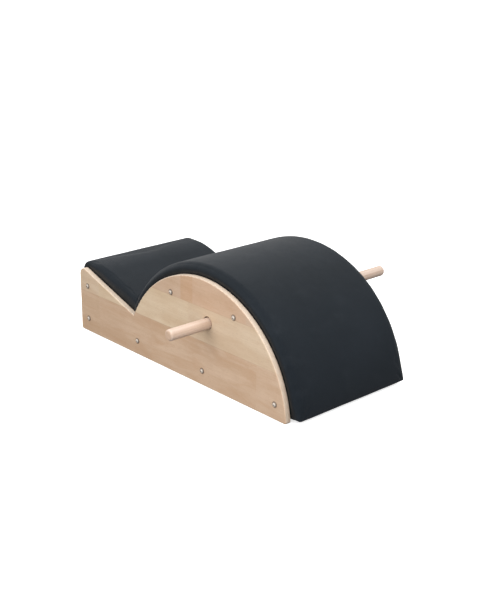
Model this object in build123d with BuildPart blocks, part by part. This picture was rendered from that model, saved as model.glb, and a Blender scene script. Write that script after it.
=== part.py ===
from build123d import *
import os
from math import atan2, cos, degrees, hypot, radians, sin, sqrt, tan

# A spine corrector: an upholstered barrel arch and an upholstered step between two wooden side panels,
# with a loose round dowel through both panels as a handle.
# Millimetres. X runs along the length, from the tall end of the step (-X) to the foot of the barrel (+X),
# Y runs across, and Z is up. The origin is on the floor, in the middle of the footprint of the two panels.

os.makedirs("parts", exist_ok=True)

# ---- driving dimensions ----
LENGTH = 916  # side panel, end to end
WIDTH = 450  # over both side panels
PANEL_T = 18

ARC_X = 119.5  # centre of the barrel's arcs
ARC_Z = -30.6
STEP_HEIGHT = 208.3  # top edge of the side panel, carried on to the tall end
STEP_FALL = 18.3  # degrees, from the tall end down to the notch
TALL_CORNER_R = 20
FOOT_CORNER_R = 7
PANEL_EASE_R = 3  # round-over of the panel's edges

PAD_PROUD = 32  # barrel pad over the panel's arc
STEP_PAD_PROUD = 36  # step pad over the panel's slope
FOAM_T = 40
SKIN_T = 1  # vinyl
DECK_T = 12
PAD_SIDE_GAP = 0.5  # between the vinyl and a side panel
PAD_EDGE_R = 12  # rounded long edges of both pads
PAD_CLEARANCE = 0.5  # between the two pads in the notch
FOOT_GAP = 15  # floor to the lowest vinyl
STEP_OVERHANG = 10  # step pad past the tall end of the panels
STEP_CORNER_R = 28  # step pad, top of the tall end
CROWN_R = 232  # step pad, from its flat top into its slope
STEP_PAD_TOP = 215.8
BARREL_FOAM_END = 94  # lowest vinyl of the barrel pad, inside the step
BARREL_DECK_END = 25  # lowest edge of the bent plywood there
STAPLE_MARGIN = 16  # vinyl turned under a deck
EDGE_MARGIN = 20  # vinyl turned under at the open ends

RAIL = 40  # square section of the cross rails
FRONT_RAIL_T = 30  # the rail at the barrel's foot is thinner
ROUND_RISE = 2  # a rail's blank past its curved face
RAIL_GAP = 0.3  # between a staple's back and a rail
REAR_BOARD_T = 18
REAR_BOARD_X = -427  # outer face of the rear board
CLEAT_W = 35
CLEAT_T = 20
CLEAT_REAR_GAP = 4  # from the rear board
CLEAT_FRONT_GAP = 8  # from the barrel pad

DOWEL_R = 16
DOWEL_LENGTH = 843
DOWEL_X = 148
DOWEL_Z = 189
DOWEL_OFFSET = 61.5  # how far it is pushed through to the right
DOWEL_END_R = 7
DOWEL_HOLE_R = 18
DOWEL_REST_GAP = 0.1  # under the dowel, where it lies in its holes
DOWEL_HOLE_EASE = 1.5  # rounded rim of each hole

BOLT_R = 2.95  # M6 shank
THREAD_R = 3.0
BOLT_HOLE_R = 3.3
BOLT_HEAD_R = 7
BOLT_HEAD_H = 4.5
BOLT_LENGTH = 55
BOLT_HOLE_SPARE = 3  # hole past the end of a panel bolt
SOCKET_AF = 4
SOCKET_DEPTH = 2.5
NUT_R = 5
NUT_LENGTH = 14
NUT_DEPTH = 32  # nut axis from the rail's end
NUT_CLEARANCE = 0.2
PIN_R = 4
PIN_LENGTH = 30
PIN_IN_PANEL = 9
PIN_OFFSET = 12  # locating pin from its bolt
PIN_CLEARANCE = 0.1
SPARE = 1  # how far a drilling runs past a face

TEE_FLANGE_R = 9.5
TEE_FLANGE_T = 1.2
TEE_BARREL_R = 4
TEE_BARREL_H = 8
TEE_DROP = 0.3  # flange below the deck's face
TEE_CLEARANCE = 0.1
DECK_HEAD_R = 6
DECK_HEAD_H = 3.5
DECK_BOLT_IN_DECK = 9
DECK_BOLT_ROWS = (-140, 0, 140)  # across each arch rail
CLEAT_BOLT_Y = 180
CLEAT_BOLT_XS = (-386, -301)

STAPLE_CROWN = 10
STAPLE_LEG = 6
STAPLE_WIRE = 1.2
STAPLE_PITCH = 48

# ---- derived sizes ----
REAR_X = -LENGTH / 2
FRONT_X = LENGTH / 2
ARC_R = hypot(FRONT_X - ARC_X, ARC_Z)  # the arc ends at the front foot
PAD_R = ARC_R + PAD_PROUD
FOAM_OUT_R = PAD_R - SKIN_T
DECK_OUT_R = FOAM_OUT_R - FOAM_T
DECK_IN_R = DECK_OUT_R - DECK_T
UNDERLAY = SKIN_T + STAPLE_WIRE + RAIL_GAP  # vinyl and staples between a deck and its rail
RAIL_OUT_R = DECK_IN_R - UNDERLAY
HALF_INSIDE = WIDTH / 2 - PANEL_T
HALF_PAD = HALF_INSIDE - PAD_SIDE_GAP
HALF_DECK = HALF_PAD - SKIN_T
NUT_Y = HALF_INSIDE - NUT_DEPTH
STEP_DECK_TOP = STEP_PAD_PROUD - SKIN_T - FOAM_T  # offsets square to the slope, up is positive
STEP_DECK_UNDER = STEP_DECK_TOP - DECK_T
CLEAT_TOP = STEP_DECK_UNDER - UNDERLAY
PAD_FRONT_R = PAD_R + PAD_CLEARANCE  # the step pad is cut to this circle
BOARD_INNER_X = REAR_BOARD_X + REAR_BOARD_T
SLOPE = radians(STEP_FALL)
STAPLE_Y = HALF_PAD - STAPLE_MARGIN / 2
DOWEL_HOLE_Z = DOWEL_Z + DOWEL_HOLE_R - DOWEL_R - DOWEL_REST_GAP
BIG = 2 * LENGTH  # larger than the object

# Bolt places on a side panel: x, z and the way that its rail's outer face looks, in degrees
REAR_TOP_BOLT = (-418, 148.5)
REAR_LOW_BOLT = (-418, 43)
BASE_REAR_BOLT = (-169.5, 43)
BASE_MIDDLE_BOLT = (125, 43)
BASE_FRONT_BOLT = (414, 43)
ARCH_REAR_BOLT = (-9, 237.5)
ARCH_FRONT_BOLT = (254, 236)


def slope_z(x, offset=0):
    """Height of the panel's slope line at x, or of a line that far above it."""
    return STEP_HEIGHT + offset / cos(SLOPE) - tan(SLOPE) * (x - REAR_X)


def slope_meets_circle(offset, radius):
    """Where a line parallel to the slope first meets a circle about the arc's centre."""
    from_x = REAR_X - ARC_X
    from_z = slope_z(REAR_X, offset) - ARC_Z
    along = from_x * cos(SLOPE) - from_z * sin(SLOPE)
    reach = -along - sqrt(radius**2 - from_x**2 - from_z**2 + along**2)
    return (REAR_X + reach * cos(SLOPE), slope_z(REAR_X, offset) - reach * sin(SLOPE))


def bearing(point):
    """Direction of a point from the arc's centre, in degrees."""
    return degrees(atan2(point[1] - ARC_Z, point[0] - ARC_X))


def on_arc(radius, angle):
    """The point at a radius and a direction from the arc's centre."""
    return (ARC_X + radius * cos(radians(angle)), ARC_Z + radius * sin(radians(angle)))


def angle_at_height(radius, z):
    """Direction, on the front side, of the point of a circle at height z."""
    return degrees(atan2(z - ARC_Z, sqrt(radius**2 - (z - ARC_Z) ** 2)))


def outward_plane(point, y, angle, lift=0):
    """A plane at a point of the side view, square to a direction in that view."""
    out = (cos(radians(angle)), 0, sin(radians(angle)))
    return Plane(origin=(point[0], y, point[1]), x_dir=(0, 1, 0), z_dir=out).offset(lift)


def finish(part, name):
    """Names a piece and writes it."""
    part.label = name
    export_step(part, f"parts/{name}.step")


def write_pair(left_part, name):
    """Writes a piece of the left side and its mirror image on the right side."""
    with BuildPart() as right_copy:
        mirror(left_part, about=Plane.XZ)
    finish(left_part, name.format("left"))
    finish(right_copy.part, name.format("right"))


PANEL_JOINTS = (
    (REAR_TOP_BOLT, 180),
    (REAR_LOW_BOLT, 180),
    (BASE_REAR_BOLT, bearing(BASE_REAR_BOLT)),
    (BASE_MIDDLE_BOLT, 90),
    (BASE_FRONT_BOLT, bearing(BASE_FRONT_BOLT)),
    (ARCH_REAR_BOLT, bearing(ARCH_REAR_BOLT)),
    (ARCH_FRONT_BOLT, bearing(ARCH_FRONT_BOLT)),
)


def pin_place(point, outward):
    """A locating pin sits beside its bolt, square to the rail's outward direction."""
    side = radians(outward + 90)
    return (point[0] + PIN_OFFSET * cos(side), point[1] + PIN_OFFSET * sin(side))


# ---- drillings for the panel bolts, their cross nuts and the locating pins ----
LEFT_FACE = Plane(origin=(0, -WIDTH / 2, 0), x_dir=(1, 0, 0), z_dir=(0, -1, 0))
LEFT_JOINT = Plane(origin=(0, -HALF_INSIDE, 0), x_dir=(1, 0, 0), z_dir=(0, -1, 0))

with BuildPart() as left_drillings:
    for bolt_point, outward in PANEL_JOINTS:
        with BuildSketch(LEFT_FACE):
            with Locations(bolt_point):
                Circle(BOLT_HOLE_R)
        extrude(amount=-BOLT_LENGTH - BOLT_HOLE_SPARE)
        with BuildSketch(LEFT_JOINT.offset(PIN_IN_PANEL + SPARE)):
            with Locations(pin_place(bolt_point, outward)):
                Circle(PIN_R + PIN_CLEARANCE)
        extrude(amount=-PIN_LENGTH - 2 * SPARE)
        with BuildSketch(outward_plane(bolt_point, -NUT_Y, outward, -RAIL)):
            Circle(NUT_R + NUT_CLEARANCE)
        extrude(amount=RAIL + NUT_LENGTH / 2 + NUT_CLEARANCE)

with BuildPart() as drillings:
    add(left_drillings.part)
    mirror(left_drillings.part, about=Plane.XZ)

# ---- side panels ----
notch = slope_meets_circle(0, ARC_R)
tall_corner = (REAR_X, STEP_HEIGHT)

with BuildPart() as side_panel:
    with BuildSketch(LEFT_JOINT) as panel_outline:
        with BuildLine():
            Polyline((FRONT_X, 0), (REAR_X, 0), tall_corner, notch)
            ThreePointArc(notch, (ARC_X, ARC_Z + ARC_R), (FRONT_X, 0))
        make_face()
        fillet(panel_outline.vertices().group_by(Axis.X)[0].sort_by(Axis.Y)[-1], TALL_CORNER_R)
        fillet(panel_outline.vertices().sort_by(Axis.X)[-1], FOOT_CORNER_R)
        fillet(panel_outline.vertices().group_by(Axis.X)[0].sort_by(Axis.Y)[0], FOOT_CORNER_R)
    extrude(amount=PANEL_T)
    rims = [face.outer_wire().edges() for face in side_panel.faces().filter_by(Axis.Y)]
    fillet(rims[0] + rims[1], PANEL_EASE_R)
    with BuildSketch(LEFT_FACE):
        with Locations((DOWEL_X, DOWEL_HOLE_Z)):
            Circle(DOWEL_HOLE_R)
    extrude(amount=-PANEL_T, mode=Mode.SUBTRACT)
    holes = [face.inner_wires().edges() for face in side_panel.faces().filter_by(Axis.Y)]
    fillet(holes[0] + holes[1], DOWEL_HOLE_EASE)
    add(left_drillings.part, mode=Mode.SUBTRACT)
write_pair(side_panel.part, "side_panel_{}")

# ---- panel bolts, cross nuts and locating pins ----
with BuildPart() as panel_bolts:
    for bolt_point, outward in PANEL_JOINTS:
        with BuildSketch(LEFT_FACE):
            with Locations(bolt_point):
                Circle(BOLT_R)
        extrude(amount=-BOLT_LENGTH)
        dome_r = (BOLT_HEAD_R**2 + BOLT_HEAD_H**2) / (2 * BOLT_HEAD_H)
        head_plane = Plane(
            origin=(bolt_point[0], -WIDTH / 2, bolt_point[1]), x_dir=(1, 0, 0), z_dir=(0, 0, 1)
        )
        with BuildSketch(head_plane):
            with BuildLine():
                Polyline((0, -BOLT_HEAD_H), (0, 0), (BOLT_HEAD_R, 0))
                RadiusArc((BOLT_HEAD_R, 0), (0, -BOLT_HEAD_H), dome_r)
            make_face()
        revolve(axis=Axis(head_plane.origin, (0, 1, 0)))
        with BuildSketch(LEFT_FACE.offset(BOLT_HEAD_H)):
            with Locations(bolt_point):
                RegularPolygon(SOCKET_AF / 2, 6, major_radius=False)
        extrude(amount=-SOCKET_DEPTH, mode=Mode.SUBTRACT)
write_pair(panel_bolts.part, "{}_panel_bolts")

with BuildPart() as barrel_nuts:
    for bolt_point, outward in PANEL_JOINTS:
        with BuildSketch(outward_plane(bolt_point, -NUT_Y, outward, -NUT_LENGTH / 2)):
            Circle(NUT_R)
        extrude(amount=NUT_LENGTH)
        with BuildSketch(LEFT_JOINT):
            with Locations(bolt_point):
                Circle(THREAD_R)
        extrude(amount=-NUT_DEPTH - 2 * NUT_R, mode=Mode.SUBTRACT)
write_pair(barrel_nuts.part, "{}_barrel_nuts")

with BuildPart() as locating_pins:
    for bolt_point, outward in PANEL_JOINTS:
        with BuildSketch(LEFT_JOINT.offset(PIN_IN_PANEL)):
            with Locations(pin_place(bolt_point, outward)):
                Circle(PIN_R)
        extrude(amount=-PIN_LENGTH)
write_pair(locating_pins.part, "{}_locating_pins")

# ---- bolts up into the decks: the place of the deck's face, its outward direction and the y ----
step_bolt_places = [
    ((x, slope_z(x, STEP_DECK_TOP)), 90 - STEP_FALL, y)
    for x in CLEAT_BOLT_XS
    for y in (-CLEAT_BOLT_Y, CLEAT_BOLT_Y)
]
BARREL_RAILS = (
    ("base_rail_rear", BASE_REAR_BOLT, RAIL),
    ("arch_rail_rear", ARCH_REAR_BOLT, RAIL),
    ("arch_rail_front", ARCH_FRONT_BOLT, RAIL),
    ("base_rail_front", BASE_FRONT_BOLT, FRONT_RAIL_T),
)
barrel_bolt_places = [
    (on_arc(DECK_OUT_R, bearing(bolt_point)), bearing(bolt_point), y, thickness)
    for rail_name, bolt_point, thickness in BARREL_RAILS
    for y in DECK_BOLT_ROWS
]


def deck_hardware(place, angle, y, stack):
    """A tee nut, its bolt and their drilling. stack is the wood and vinyl below the deck."""
    head_at = -DECK_T - stack
    with BuildPart() as tee:
        with BuildSketch(outward_plane(place, y, angle, -TEE_DROP)):
            Circle(TEE_FLANGE_R)
        extrude(amount=-TEE_FLANGE_T)
        with BuildSketch(outward_plane(place, y, angle, -TEE_DROP)):
            Circle(TEE_BARREL_R)
        extrude(amount=-TEE_BARREL_H - TEE_FLANGE_T)
        with BuildSketch(outward_plane(place, y, angle)):
            Circle(THREAD_R)
        extrude(amount=-DECK_T, mode=Mode.SUBTRACT)
    with BuildPart() as bolt:
        with BuildSketch(outward_plane(place, y, angle, head_at)):
            Circle(BOLT_R)
        extrude(amount=stack + DECK_BOLT_IN_DECK)
        with BuildSketch(outward_plane(place, y, angle, head_at)):
            Circle(DECK_HEAD_R)
        extrude(amount=-DECK_HEAD_H)
        with BuildSketch(outward_plane(place, y, angle, head_at - DECK_HEAD_H)):
            RegularPolygon(SOCKET_AF / 2, 6, major_radius=False)
        extrude(amount=SOCKET_DEPTH, mode=Mode.SUBTRACT)
    with BuildPart() as drilling:
        with BuildSketch(outward_plane(place, y, angle, -DECK_T - TEE_CLEARANCE)):
            Circle(TEE_BARREL_R + TEE_CLEARANCE)
        extrude(amount=DECK_T + SPARE)
        with BuildSketch(outward_plane(place, y, angle, SPARE)):
            Circle(TEE_FLANGE_R + TEE_CLEARANCE)
        extrude(amount=-SPARE - TEE_DROP - TEE_FLANGE_T)
        with BuildSketch(outward_plane(place, y, angle, head_at)):
            Circle(BOLT_HOLE_R)
        extrude(amount=stack + SPARE)
    return tee.part, bolt.part, drilling.part


def gather(parts):
    """Several separate solids as one group."""
    with BuildPart() as group:
        add(parts)
    return group.part


step_stack = UNDERLAY + CLEAT_T
step_hardware = [deck_hardware(place, angle, y, step_stack) for place, angle, y in step_bolt_places]
barrel_hardware = [
    deck_hardware(place, angle, y, UNDERLAY + thickness)
    for place, angle, y, thickness in barrel_bolt_places
]
finish(gather([tee for tee, bolt, drilling in step_hardware]), "step_tee_nuts")
finish(gather([bolt for tee, bolt, drilling in step_hardware]), "step_deck_bolts")
finish(gather([tee for tee, bolt, drilling in barrel_hardware]), "barrel_tee_nuts")
finish(gather([bolt for tee, bolt, drilling in barrel_hardware]), "barrel_deck_bolts")
step_drillings = gather([drilling for tee, bolt, drilling in step_hardware])
barrel_drillings = gather([drilling for tee, bolt, drilling in barrel_hardware])

# ---- cross rails ----
for rail_name, bolt_point, thickness in BARREL_RAILS:
    direction = bearing(bolt_point)
    middle = on_arc(RAIL_OUT_R - thickness / 2, direction)
    with BuildPart() as arch_rail:
        with BuildSketch(Plane.XZ):
            with Locations(Location(middle, direction)):
                Rectangle(thickness + 2 * ROUND_RISE, RAIL)
            with Locations((ARC_X, ARC_Z)):
                Circle(RAIL_OUT_R, mode=Mode.INTERSECT)
        extrude(amount=HALF_INSIDE, both=True)
        inner_face = outward_plane(on_arc(RAIL_OUT_R - thickness, direction), 0, direction)
        split(bisect_by=inner_face, keep=Keep.TOP)
        add(drillings.part, mode=Mode.SUBTRACT)
        add(barrel_drillings, mode=Mode.SUBTRACT)
    finish(arch_rail.part, rail_name)

with BuildPart() as base_rail_middle:
    with BuildSketch(Plane.XZ):
        with Locations(BASE_MIDDLE_BOLT):
            Rectangle(RAIL, RAIL)
    extrude(amount=HALF_INSIDE, both=True)
    add(drillings.part, mode=Mode.SUBTRACT)
finish(base_rail_middle.part, "base_rail_middle")

# ---- rear board, step deck and its cleats ----
with BuildPart() as rear_board_blank:
    with BuildSketch(Plane.XZ):
        with BuildLine():
            Polyline(
                (REAR_BOARD_X, FOOT_GAP + SKIN_T),
                (BOARD_INNER_X, FOOT_GAP + SKIN_T),
                (BOARD_INNER_X, slope_z(BOARD_INNER_X, STEP_DECK_UNDER)),
                (REAR_BOARD_X, slope_z(REAR_BOARD_X, STEP_DECK_UNDER)),
                close=True,
            )
        make_face()
    extrude(amount=HALF_DECK, both=True)

with BuildPart() as rear_board:
    add(rear_board_blank.part)
    add(drillings.part, mode=Mode.SUBTRACT)
finish(rear_board.part, "rear_board")

with BuildPart() as step_deck_blank:
    with BuildSketch(Plane.XZ):
        with BuildLine():
            Polyline(
                (REAR_BOARD_X, slope_z(REAR_BOARD_X, STEP_DECK_UNDER)),
                (0, slope_z(0, STEP_DECK_UNDER)),
                (0, slope_z(0, STEP_DECK_TOP)),
                (REAR_BOARD_X, slope_z(REAR_BOARD_X, STEP_DECK_TOP)),
                close=True,
            )
        make_face()
        with Locations((ARC_X, ARC_Z)):
            Circle(PAD_FRONT_R + SKIN_T, mode=Mode.SUBTRACT)
    extrude(amount=HALF_DECK, both=True)

with BuildPart() as step_deck:
    add(step_deck_blank.part)
    add(step_drillings, mode=Mode.SUBTRACT)
finish(step_deck.part, "step_deck")

cleat_start = BOARD_INNER_X + CLEAT_REAR_GAP
cleat_end = slope_meets_circle(CLEAT_TOP, PAD_FRONT_R + CLEAT_FRONT_GAP)[0]
with BuildPart() as step_cleat:
    with BuildSketch(LEFT_JOINT):
        with BuildLine():
            Polyline(
                (cleat_start, slope_z(cleat_start, CLEAT_TOP - CLEAT_T)),
                (cleat_end, slope_z(cleat_end, CLEAT_TOP - CLEAT_T)),
                (cleat_end, slope_z(cleat_end, CLEAT_TOP)),
                (cleat_start, slope_z(cleat_start, CLEAT_TOP)),
                close=True,
            )
        make_face()
    extrude(amount=-CLEAT_W)
    add(step_drillings, mode=Mode.SUBTRACT)
write_pair(step_cleat.part, "step_cleat_{}")


# ---- step pad: foam over the deck and the rear board, and the vinyl round both ----
def step_contour(inset):
    """Corners of the step pad's outer line, drawn in by inset, from the floor end to past the notch."""
    back = REAR_X - STEP_OVERHANG + inset
    top = STEP_PAD_TOP - inset
    crown = REAR_X + (slope_z(REAR_X, STEP_PAD_PROUD - inset) - top) / tan(SLOPE)
    return [(back, FOOT_GAP + inset), (back, top), (crown, top), (0, slope_z(0, STEP_PAD_PROUD - inset))]


def step_radii(inset):
    """Rounding of the two upper corners of that line."""
    return [STEP_CORNER_R - inset, CROWN_R - inset]


def step_rims(part, inset):
    """Side edges of the step pad's rear and top, without those of its foot and its front."""
    rims = []
    for edge in part.faces().filter_by(Axis.Y).edges():
        middle = edge.center()
        outside = middle.X < REAR_BOARD_X - FOAM_T / 2 or middle.Z > slope_z(middle.X)
        above_foot = middle.Z > FOOT_GAP + inset + SKIN_T
        from_arc = hypot(middle.X - ARC_X, middle.Z - ARC_Z)
        if outside and above_foot and from_arc > PAD_FRONT_R + inset + SKIN_T:
            rims.append(edge)
    return rims


with BuildPart() as step_foam:
    foam_line = step_contour(SKIN_T)
    with BuildSketch(Plane.XZ):
        with BuildLine():
            FilletPolyline(*foam_line, radius=step_radii(SKIN_T))
            Polyline(
                foam_line[-1],
                (0, slope_z(0, STEP_DECK_TOP)),
                (REAR_BOARD_X, slope_z(REAR_BOARD_X, STEP_DECK_TOP)),
                (REAR_BOARD_X, FOOT_GAP + SKIN_T),
                foam_line[0],
            )
        make_face()
        with Locations((ARC_X, ARC_Z)):
            Circle(PAD_FRONT_R + SKIN_T, mode=Mode.SUBTRACT)
    extrude(amount=HALF_DECK, both=True)
    fillet(step_rims(step_foam.part, SKIN_T), PAD_EDGE_R - SKIN_T)
finish(step_foam.part, "step_foam")

with BuildPart() as step_cover:
    cover_line = step_contour(0)
    under = STEP_DECK_UNDER - SKIN_T
    with BuildSketch(Plane.XZ):
        with BuildLine():
            FilletPolyline(*cover_line, radius=step_radii(0))
            Polyline(
                cover_line[-1],
                (0, slope_z(0, under)),
                (BOARD_INNER_X + SKIN_T, slope_z(BOARD_INNER_X + SKIN_T, under)),
                (BOARD_INNER_X + SKIN_T, FOOT_GAP),
                cover_line[0],
            )
        make_face()
        with Locations((ARC_X, ARC_Z)):
            Circle(PAD_FRONT_R, mode=Mode.SUBTRACT)
    extrude(amount=HALF_PAD, both=True)
    fillet(step_rims(step_cover.part, 0), PAD_EDGE_R)
    add([step_foam.part, step_deck_blank.part, rear_board_blank.part], mode=Mode.SUBTRACT)
    add(drillings.part, mode=Mode.SUBTRACT)
    window_end = slope_meets_circle(STEP_DECK_UNDER, PAD_FRONT_R + EDGE_MARGIN)[0]
    with BuildSketch(Plane.XZ):
        with BuildLine():
            Polyline(
                (BOARD_INNER_X, FOOT_GAP + EDGE_MARGIN),
                (BOARD_INNER_X, slope_z(BOARD_INNER_X, STEP_DECK_UNDER)),
                (window_end, slope_z(window_end, STEP_DECK_UNDER)),
                (window_end, FOOT_GAP + EDGE_MARGIN),
                close=True,
            )
        make_face()
    extrude(amount=HALF_PAD - STAPLE_MARGIN, both=True, mode=Mode.SUBTRACT)
finish(step_cover.part, "step_cover")


# ---- barrel: bent deck, foam and vinyl ----
def ring_sketch(outer_r, inner_r, z_front, z_rear):
    """Side view of a bent layer between two radii, cut level at one height in front and another behind."""
    with BuildSketch(Plane.XZ) as ring:
        with Locations((ARC_X, ARC_Z)):
            Circle(outer_r)
            Circle(inner_r, mode=Mode.SUBTRACT)
        with BuildLine():
            Polyline(
                (BIG, z_front),
                (ARC_X, z_front),
                (ARC_X, z_rear),
                (-BIG, z_rear),
                (-BIG, BIG),
                (BIG, BIG),
                close=True,
            )
        make_face(mode=Mode.INTERSECT)
    return ring.sketch


def long_rims(part):
    """The outer long edges of a bent layer, one on each side."""
    sides = part.faces().filter_by(Axis.Y).edges().filter_by(GeomType.CIRCLE)
    return sides.sort_by(SortBy.LENGTH)[-2:]


ACROSS = (0, 1, 0)
with BuildPart() as barrel_deck_blank:
    deck_ring = ring_sketch(DECK_OUT_R, DECK_IN_R, FOOT_GAP + SKIN_T, BARREL_DECK_END)
    extrude(deck_ring, amount=HALF_DECK, dir=ACROSS, both=True)

with BuildPart() as barrel_deck:
    add(barrel_deck_blank.part)
    add(barrel_drillings, mode=Mode.SUBTRACT)
finish(barrel_deck.part, "barrel_deck")

with BuildPart() as barrel_foam:
    foam_ring = ring_sketch(FOAM_OUT_R, DECK_OUT_R, FOOT_GAP + SKIN_T, BARREL_FOAM_END + SKIN_T)
    extrude(foam_ring, amount=HALF_DECK, dir=ACROSS, both=True)
    fillet(long_rims(barrel_foam.part), PAD_EDGE_R - SKIN_T)
finish(barrel_foam.part, "barrel_foam")

with BuildPart() as barrel_cover:
    cover_ring = ring_sketch(PAD_R, DECK_IN_R - SKIN_T, FOOT_GAP, BARREL_FOAM_END)
    extrude(cover_ring, amount=HALF_PAD, dir=ACROSS, both=True)
    fillet(long_rims(barrel_cover.part), PAD_EDGE_R)
    add([barrel_foam.part, barrel_deck_blank.part], mode=Mode.SUBTRACT)
    window_ring = ring_sketch(DECK_IN_R, DECK_IN_R - 2 * SKIN_T, FOOT_GAP + EDGE_MARGIN, FOOT_GAP)
    extrude(window_ring, amount=HALF_PAD - STAPLE_MARGIN, dir=ACROSS, both=True, mode=Mode.SUBTRACT)
finish(barrel_cover.part, "barrel_cover")


# ---- staples ----
def staple(surface):
    """One staple driven into a plane's back, its crown along the plane's x."""
    with BuildPart() as wire:
        with BuildSketch(surface):
            Rectangle(STAPLE_CROWN, STAPLE_WIRE)
        extrude(amount=STAPLE_WIRE)
        with BuildSketch(surface):
            with GridLocations(STAPLE_CROWN - STAPLE_WIRE, 0, 2, 1):
                Rectangle(STAPLE_WIRE, STAPLE_WIRE)
        extrude(amount=-STAPLE_LEG)
    return wire.part


def spread(start, end, pitch=STAPLE_PITCH):
    """Evenly spaced values from start to end, about a pitch apart."""
    gaps = max(1, round(abs(end - start) / pitch))
    return [start + (end - start) * i / gaps for i in range(gaps + 1)]


across = spread(-STAPLE_Y + STAPLE_PITCH / 2, STAPLE_Y - STAPLE_PITCH / 2)
skin_in_r = DECK_IN_R - SKIN_T
foot_angle = angle_at_height(skin_in_r, FOOT_GAP + EDGE_MARGIN)
notch_angle = 180 - angle_at_height(skin_in_r, BARREL_FOAM_END + EDGE_MARGIN)
angle_step = degrees(STAPLE_PITCH / skin_in_r)

barrel_staples = []
for angle in spread(foot_angle, notch_angle, angle_step):
    inward = (-cos(radians(angle)), 0, -sin(radians(angle)))
    tangent = (-sin(radians(angle)), 0, cos(radians(angle)))
    x, z = on_arc(skin_in_r, angle)
    for y in (-STAPLE_Y, STAPLE_Y):
        barrel_staples.append(staple(Plane(origin=(x, y, z), x_dir=tangent, z_dir=inward)))
foot_row = angle_at_height(skin_in_r, FOOT_GAP + EDGE_MARGIN / 2)
x, z = on_arc(skin_in_r, foot_row)
inward = (-cos(radians(foot_row)), 0, -sin(radians(foot_row)))
for y in across:
    barrel_staples.append(staple(Plane(origin=(x, y, z), x_dir=(0, 1, 0), z_dir=inward)))
finish(gather(barrel_staples), "barrel_cover_staples")

deck_down = (-sin(SLOPE), 0, -cos(SLOPE))
deck_along = (cos(SLOPE), 0, -sin(SLOPE))
step_staples = []
lip_x = slope_meets_circle(under, PAD_FRONT_R + EDGE_MARGIN / 2)[0]
for x in spread(BOARD_INNER_X + STAPLE_PITCH / 2, lip_x - STAPLE_PITCH / 2):
    for y in (-STAPLE_Y, STAPLE_Y):
        place = Plane(origin=(x, y, slope_z(x, under)), x_dir=deck_along, z_dir=deck_down)
        step_staples.append(staple(place))
for y in across:
    lip = Plane(origin=(lip_x, y, slope_z(lip_x, under)), x_dir=(0, 1, 0), z_dir=deck_down)
    step_staples.append(staple(lip))
    hem_z = FOOT_GAP + EDGE_MARGIN / 2
    hem = Plane(origin=(BOARD_INNER_X + SKIN_T, y, hem_z), x_dir=(0, 1, 0), z_dir=(1, 0, 0))
    step_staples.append(staple(hem))
for z in spread(FOOT_GAP + EDGE_MARGIN, slope_z(BOARD_INNER_X, under) - STAPLE_PITCH / 2):
    for y in (-STAPLE_Y, STAPLE_Y):
        side = Plane(origin=(BOARD_INNER_X + SKIN_T, y, z), x_dir=(0, 0, 1), z_dir=(1, 0, 0))
        step_staples.append(staple(side))
finish(gather(step_staples), "step_cover_staples")

# ---- loose cross dowel ----
dowel_start = DOWEL_OFFSET - DOWEL_LENGTH / 2
with BuildPart() as dowel:
    with BuildSketch(Plane(origin=(DOWEL_X, dowel_start, DOWEL_Z), x_dir=(1, 0, 0), z_dir=(0, 1, 0))):
        Circle(DOWEL_R)
    extrude(amount=DOWEL_LENGTH)
    fillet(dowel.edges().filter_by(GeomType.CIRCLE), DOWEL_END_R)
finish(dowel.part, "dowel")
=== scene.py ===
"""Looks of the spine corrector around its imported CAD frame: woods, steel and two upholstered pads."""
from math import cos, hypot, pi, radians, sin, sqrt, tan

import bmesh
import bpy
import numpy as np
from mathutils import Euler, Matrix, Vector, noise


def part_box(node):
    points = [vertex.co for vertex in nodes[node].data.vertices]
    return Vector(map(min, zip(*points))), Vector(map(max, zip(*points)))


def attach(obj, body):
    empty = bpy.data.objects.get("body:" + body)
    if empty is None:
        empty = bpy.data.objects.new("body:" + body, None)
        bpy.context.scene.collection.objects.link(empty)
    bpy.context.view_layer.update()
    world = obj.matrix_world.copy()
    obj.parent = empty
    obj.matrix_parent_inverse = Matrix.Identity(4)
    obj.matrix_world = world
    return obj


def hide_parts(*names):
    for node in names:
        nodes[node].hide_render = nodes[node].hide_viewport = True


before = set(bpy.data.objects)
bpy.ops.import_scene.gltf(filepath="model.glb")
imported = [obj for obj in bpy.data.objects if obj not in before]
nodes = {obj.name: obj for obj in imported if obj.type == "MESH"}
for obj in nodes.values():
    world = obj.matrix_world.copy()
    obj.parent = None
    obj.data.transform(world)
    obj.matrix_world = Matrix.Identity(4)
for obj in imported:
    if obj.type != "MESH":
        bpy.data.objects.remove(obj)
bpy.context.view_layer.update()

# ---------------------------------------------------------------- dimensions, in metres, as the CAD has them
ARC_X = 0.1195  # the barrel's axis
ARC_Z = -0.0306
ARC_R = 0.3399  # the side panels' arc
SLOPE = radians(18.3)
STEP_HEIGHT = 0.2083  # of the panels' slope above the floor, at their rear edge
STEP_DECK_TOP = -0.005  # the step's deck and vinyl, measured square to the panels' slope
PAD_PROUD = 0.036
STEP_CORNER_R = 0.030  # the step's vinyl bends from its back to its top, and then into the slope
CROWN_R = 0.232
DECK_T = 0.012
FOAM_T = 0.040
SKIN_T = 0.001
EDGE_MARGIN = 0.020  # how wide the vinyl's turned hem is at a pad's ends, and at its sides
STAPLE_MARGIN = 0.016
STAPLE_PITCH = 0.048
HEAD_R = 0.007

barrel_low, barrel_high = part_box("barrel_cover")
step_low, step_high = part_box("step_cover")
deck_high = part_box("barrel_deck")[1]
panel_low, panel_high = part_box("side_panel_left")
dowel_low, dowel_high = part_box("dowel")
board_low, board_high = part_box("rear_board")

PANEL_REAR_X = round(panel_low.x, 6)
PAD_R = barrel_high.z - ARC_Z
HALF_PAD = barrel_high.y
FOOT_GAP = barrel_low.z
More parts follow.
